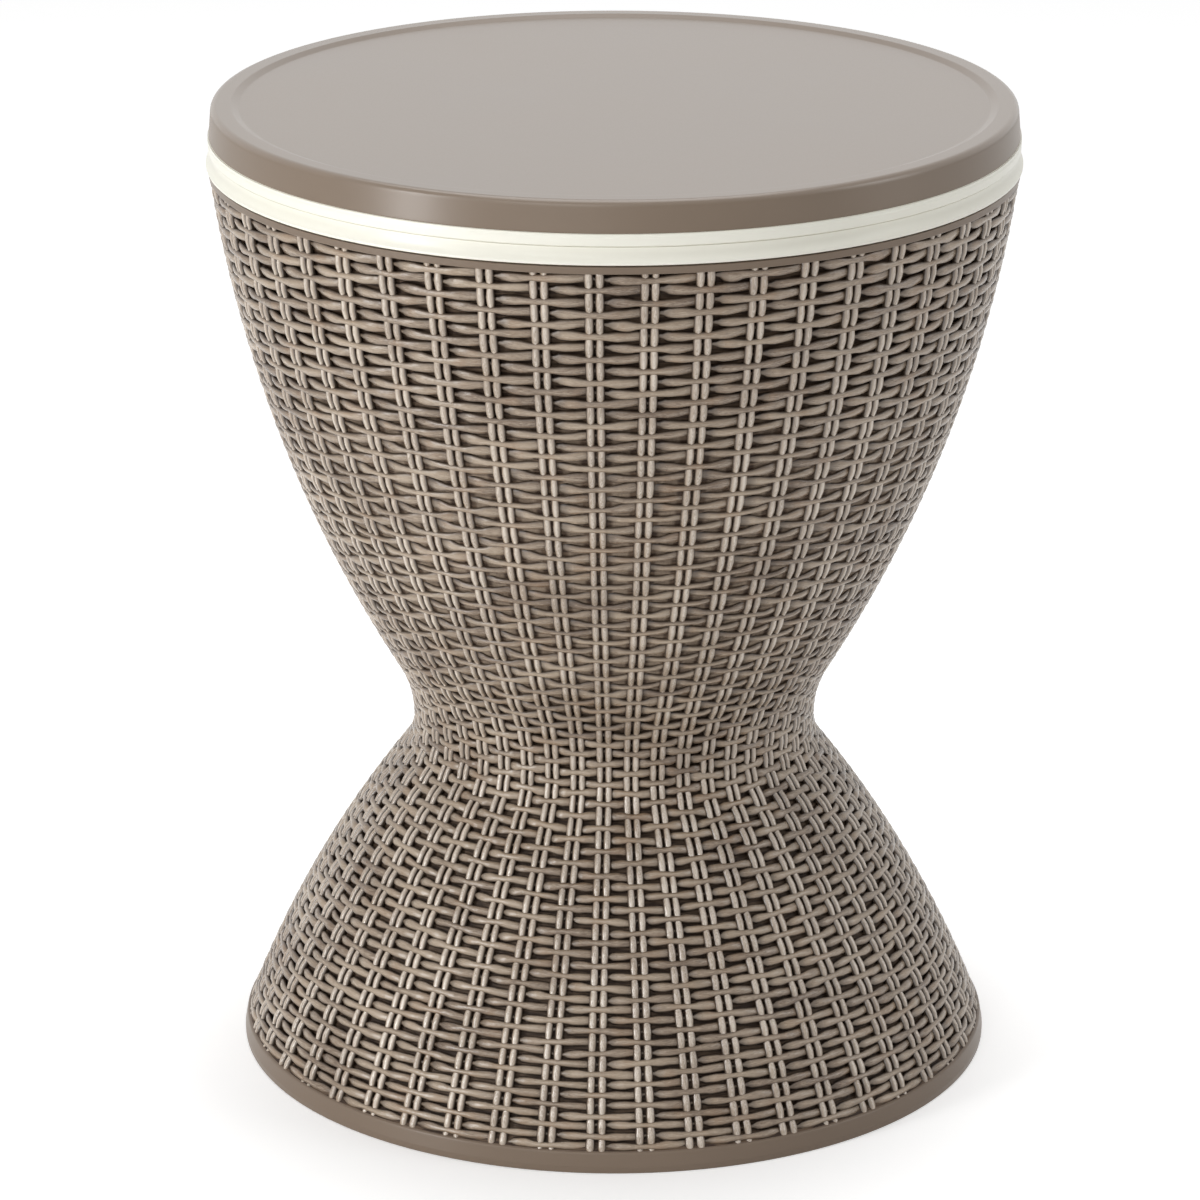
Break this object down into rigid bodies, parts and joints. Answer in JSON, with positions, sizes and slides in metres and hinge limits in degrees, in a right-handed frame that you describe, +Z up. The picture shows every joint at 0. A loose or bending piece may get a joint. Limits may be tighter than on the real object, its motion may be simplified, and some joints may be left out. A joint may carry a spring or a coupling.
{
  "type": "cooler table with lid",
  "caption": "Round patio side table with a woven-look hourglass pedestal, an ice bucket inside, and a top that lifts on a centre pole and turns to lock at bar height.",
  "frame": {"origin": "middle of the foot ring on the floor", "axes": "+Z up along the centre pole, the front faces -Y, +X to the right"},
  "size_m": [0.4832, 0.483, 0.59],
  "materials": {
    "wicker": "satin moulded wicker in taupe",
    "taupe_top": "satin moulded plastic in taupe",
    "cream_plastic": "satin cream plastic",
    "pole_plastic": "satin off-white plastic",
    "grey_plastic": "plain grey plastic",
    "seal_rubber": "black seal rubber",
    "screws": "plain steel"
  },
  "bodies": {
    "pedestal": {"lower_shell": "wicker", "upper_shell": "wicker", "waist_screws": "screws", "cooler_bucket": "cream_plastic", "rim_screws": "screws", "guide_sleeve": "grey_plastic", "sleeve_screws": "screws", "column_cap": "cream_plastic", "drain_fitting": "grey_plastic", "drain_gasket": "seal_rubber", "drain_nut": "grey_plastic"},
    "bush": {"turn_bush": "grey_plastic"},
    "lid": {"tabletop_cover": "taupe_top", "lid_underside": "cream_plastic", "lid_screws": "screws", "pole_flange": "pole_plastic", "flange_screws": "screws", "pole_tube": "pole_plastic", "pole_foot": "grey_plastic", "foot_pin": "screws"},
    "plug": {"drain_plug": "grey_plastic", "plug_ring": "seal_rubber"}
  },
  "joints": [
    {"name": "top_turn", "type": "hinge", "parent": "pedestal", "child": "bush", "pos_m": [0, 0, 0.44], "axis": [0, 0, 1], "range_deg": [0, 60]},
    {"name": "top_lift", "type": "slide", "parent": "bush", "child": "lid", "axis": [0, 0, 1], "range_m": [0, 0.254]},
    {"name": "plug_pull", "type": "slide", "parent": "pedestal", "child": "plug", "axis": [0, 0, 1], "range_m": [0, 0.03]}
  ]
}
